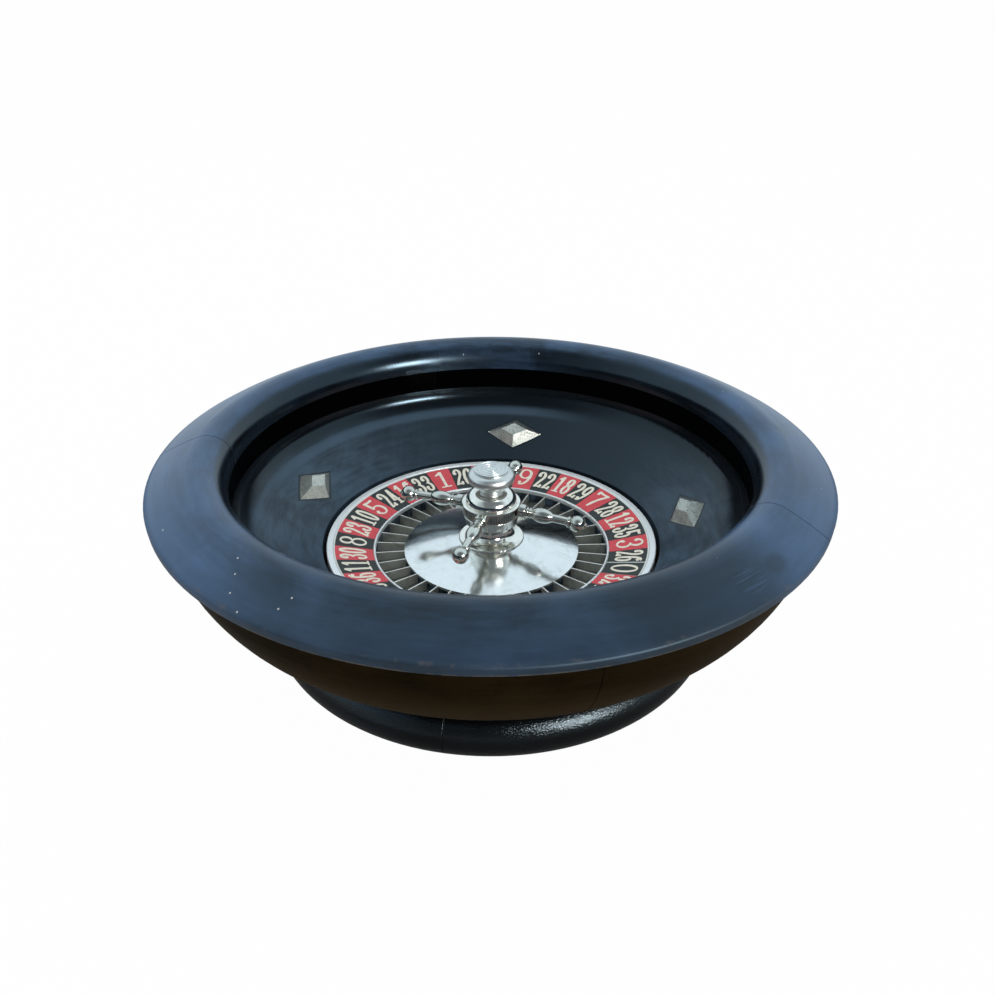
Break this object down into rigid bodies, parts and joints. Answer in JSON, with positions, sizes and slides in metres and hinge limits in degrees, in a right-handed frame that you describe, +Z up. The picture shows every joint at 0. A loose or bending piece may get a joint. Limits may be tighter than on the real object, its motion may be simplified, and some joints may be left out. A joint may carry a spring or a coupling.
{
  "type": "roulette wheel",
  "caption": "Small turned wooden roulette wheel: a round bowl on a foot, with a sloping ball track, metal deflectors and a rotor with numbered cells, frets, a turret and handles.",
  "frame": {"origin": "middle of the foot's underside, on the table", "axes": "+Z up along the spindle, -Y towards the viewer of the picture, +X to that viewer's right"},
  "size_m": [0.305, 0.305, 0.0982],
  "materials": {
    "rim_lacquer": "satin lacquer over blackened turned wood",
    "body_lacquer": "satin lacquer over blackened turned wood",
    "track_lacquer": "satin lacquer over blackened turned wood",
    "foot_lacquer": "glossy lacquer over blackened turned wood",
    "bare_wood": "plain planed board",
    "stained_wood": "dark stained turned wood",
    "pewter": "cast grey metal, dull polish",
    "nickel": "polished nickel plate",
    "enamel": "glossy enamel in red and black cells",
    "pocket_black": "dark paint",
    "brass": "turned brass",
    "steel": "turned steel"
  },
  "bodies": {
    "bowl": {"rim_front": "rim_lacquer", "rim_back": "rim_lacquer", "body_ring_left": "body_lacquer", "body_ring_right": "body_lacquer", "apron": "track_lacquer", "deflector_right": "pewter", "deflector_back": "pewter", "deflector_left": "pewter", "deflector_front": "pewter", "foot_ring_left": "foot_lacquer", "foot_ring_right": "foot_lacquer", "floor_board": "bare_wood", "board_screws": "brass", "spindle": "steel", "spindle_flange": "steel", "flange_screws": "brass", "spindle_washer": "steel", "spindle_nut": "steel"},
    "rotor": {"rotor_disc": "stained_wood", "outer_ring": "nickel", "number_ring": "enamel", "inner_ring": "nickel", "pocket_floor": "pocket_black", "frets": "nickel", "cone": "nickel", "rotor_bush": "brass", "bush_screws": "brass", "thrust_plug": "brass", "turret_base": "nickel", "turret_drum": "nickel", "turret_cap": "nickel", "finial_knob": "nickel", "handle_right": "nickel", "handle_back": "nickel", "handle_left": "nickel", "handle_front": "nickel"}
  },
  "joints": [
    {"name": "rotor_spin", "type": "hinge", "parent": "bowl", "child": "rotor", "pos_m": [0, 0, 0.04], "axis": [0, 0, 1], "continuous": true}
  ]
}
